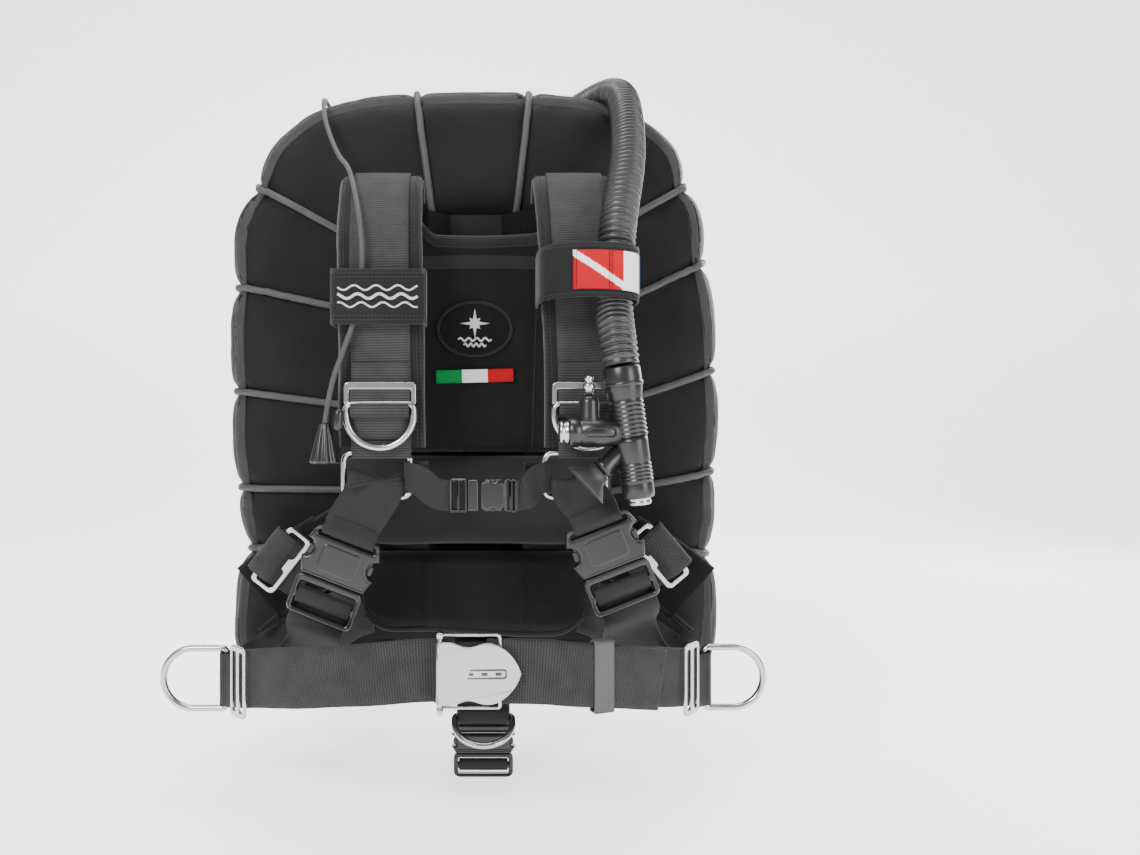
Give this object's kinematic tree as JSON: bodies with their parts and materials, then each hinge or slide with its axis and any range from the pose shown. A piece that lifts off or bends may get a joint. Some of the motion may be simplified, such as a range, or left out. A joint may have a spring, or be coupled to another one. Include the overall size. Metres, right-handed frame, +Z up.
{
  "type": "dive buoyancy wing with harness",
  "caption": "Diver's buoyancy wing held in by elastic loops, on a steel backplate with a padded webbing harness, corrugated inflator hose and quick-release buckles",
  "frame": {"origin": "centre of the two tank bolt holes on the rear face of the backplate", "axes": "+Z up, +X to the wearer's left, +Y towards the tanks, the wearer on the -Y side"},
  "size_m": [0.5458, 0.351, 0.6862],
  "materials": {
    "steel_sheet": "brushed sheet",
    "steel": "polished wire and plate",
    "wing_cloth": "coated nylon cloth",
    "bladder_film": "welded film",
    "grey_elastic": "braided elastic cord",
    "padded_cloth": "nylon over foam",
    "neoprene": "smooth neoprene",
    "patch_cloth": "embroidered cloth",
    "strip_cloth": "embroidered cloth in green, white and red",
    "webbing": "woven webbing",
    "black_plastic": "moulded",
    "rubber_band": "ribbed elastic",
    "hose_rubber": "ribbed hose",
    "soft_rubber": "soft moulded",
    "cord_fibre": "braided cord"
  },
  "bodies": {
    "harness": {"backplate": "steel_sheet", "wing_shell": "wing_cloth", "bladder_main": "bladder_film", "bladder_backup": "bladder_film", "wing_grommets": "steel", "bungees": "grey_elastic", "back_pad": "padded_cloth", "lumbar_pad": "neoprene", "lower_pad": "padded_cloth", "crest_patch": "patch_cloth", "colour_strip": "strip_cloth", "shoulder_pad_left": "padded_cloth", "shoulder_pad_right": "padded_cloth", "shoulder_web_left": "webbing", "shoulder_web_right": "webbing", "chest_sliders": "steel", "strap_band_left": "webbing", "hose_band_right": "webbing", "link_rings": "steel", "shoulder_socket_left": "black_plastic", "shoulder_socket_right": "black_plastic", "upper_tabs": "webbing", "lower_strap_left": "webbing", "lower_strap_right": "webbing", "hip_sliders": "steel", "hip_panels": "padded_cloth", "waist_belt_left": "webbing", "waist_belt_right": "webbing", "waist_sliders": "steel", "belt_buckle_frame": "steel", "belt_keeper": "rubber_band", "chest_strap_left": "webbing", "chest_strap_right": "webbing", "chest_buckle_socket": "black_plastic", "crotch_strap": "webbing", "crotch_buckle_socket": "black_plastic", "elbows": "black_plastic", "inflator_hose": "hose_rubber", "backup_hose": "hose_rubber", "backup_inflator": "black_plastic", "dump_valve": "black_plastic", "pull_cord": "cord_fibre"},
    "chest_ring_left": {"chest_dring_left": "steel"},
    "chest_ring_right": {"chest_dring_right": "steel"},
    "waist_ring_left": {"waist_dring_left": "steel"},
    "waist_ring_right": {"waist_dring_right": "steel"},
    "belt_lever": {"belt_buckle_lever": "steel"},
    "chest_plug": {"chest_buckle_plug": "black_plastic"},
    "plug_left": {"shoulder_plug_left": "black_plastic"},
    "plug_right": {"shoulder_plug_right": "black_plastic"},
    "crotch_plug": {"crotch_buckle_plug": "black_plastic"},
    "crotch_ring": {"crotch_dring": "steel"},
    "inflator": {"inflator_body": "black_plastic", "mouthpiece": "soft_rubber", "lp_nipple": "steel", "inflator_hose_lower": "hose_rubber"},
    "inflate_press": {"inflate_button": "steel"},
    "deflate_press": {"deflate_button": "steel"},
    "dump_knob": {"pull_knob": "black_plastic"}
  },
  "joints": [
    {"name": "chest_ring_left_hinge", "type": "hinge", "parent": "harness", "child": "chest_ring_left", "pos_m": [-0.0795, -0.1124, 0.013], "axis": [-1, 0, 0], "range_deg": [0, 150]},
    {"name": "chest_ring_right_hinge", "type": "hinge", "parent": "harness", "child": "chest_ring_right", "pos_m": [0.093, -0.1124, 0.013], "axis": [-1, 0, 0], "range_deg": [0, 12]},
    {"name": "waist_ring_left_hinge", "type": "hinge", "parent": "harness", "child": "waist_ring_left", "pos_m": [-0.2244, -0.048, -0.228], "axis": [0, 0, 1], "range_deg": [-45, 45]},
    {"name": "waist_ring_right_hinge", "type": "hinge", "parent": "harness", "child": "waist_ring_right", "pos_m": [0.2054, -0.048, -0.227], "axis": [0, 0, 1], "range_deg": [-45, 45]},
    {"name": "belt_lever_hinge", "type": "hinge", "parent": "harness", "child": "belt_lever", "pos_m": [-0.028, -0.1564, -0.193], "axis": [0, 0, -1], "range_deg": [0, 110]},
    {"name": "chest_plug_slide", "type": "slide", "parent": "harness", "child": "chest_plug", "axis": [-1, 0, 0], "range_m": [0, 0.024], "deforming": ["chest_strap_left"]},
    {"name": "plug_left_slide", "type": "slide", "parent": "harness", "child": "plug_left", "axis": [-0.3665, 0, -0.9304], "range_m": [0, 0.032], "deforming": ["lower_strap_left"]},
    {"name": "plug_right_slide", "type": "slide", "parent": "harness", "child": "plug_right", "axis": [0.3665, 0, -0.9304], "range_m": [0, 0.032], "deforming": ["lower_strap_right"]},
    {"name": "crotch_plug_slide", "type": "slide", "parent": "harness", "child": "crotch_plug", "axis": [0, 0, -1], "range_m": [0, 0.017]},
    {"name": "crotch_ring_hinge", "type": "hinge", "parent": "harness", "child": "crotch_ring", "pos_m": [0.007, -0.0162, -0.272], "axis": [1, 0, 0], "range_deg": [-50, 25]},
    {"name": "inflator_swing", "type": "hinge", "parent": "harness", "child": "inflator", "pos_m": [0.1124, -0.1224, 0.098], "axis": [-1, 0, 0], "range_deg": [0, 60], "deforming": ["inflator_hose_lower"]},
    {"name": "inflate_press_slide", "type": "slide", "parent": "inflator", "child": "inflate_press", "axis": [1, 0, 0], "range_m": [0, 0.003], "stiffness_N_per_m": 400},
    {"name": "deflate_press_slide", "type": "slide", "parent": "inflator", "child": "deflate_press", "axis": [-0.1384, 0, 0.9904], "range_m": [0, 0.0035], "stiffness_N_per_m": 400},
    {"name": "dump_knob_slide", "type": "slide", "parent": "harness", "child": "dump_knob", "axis": [0, 0, -1], "range_m": [0, 0.02], "stiffness_N_per_m": 150, "deforming": ["pull_cord"]}
  ]
}
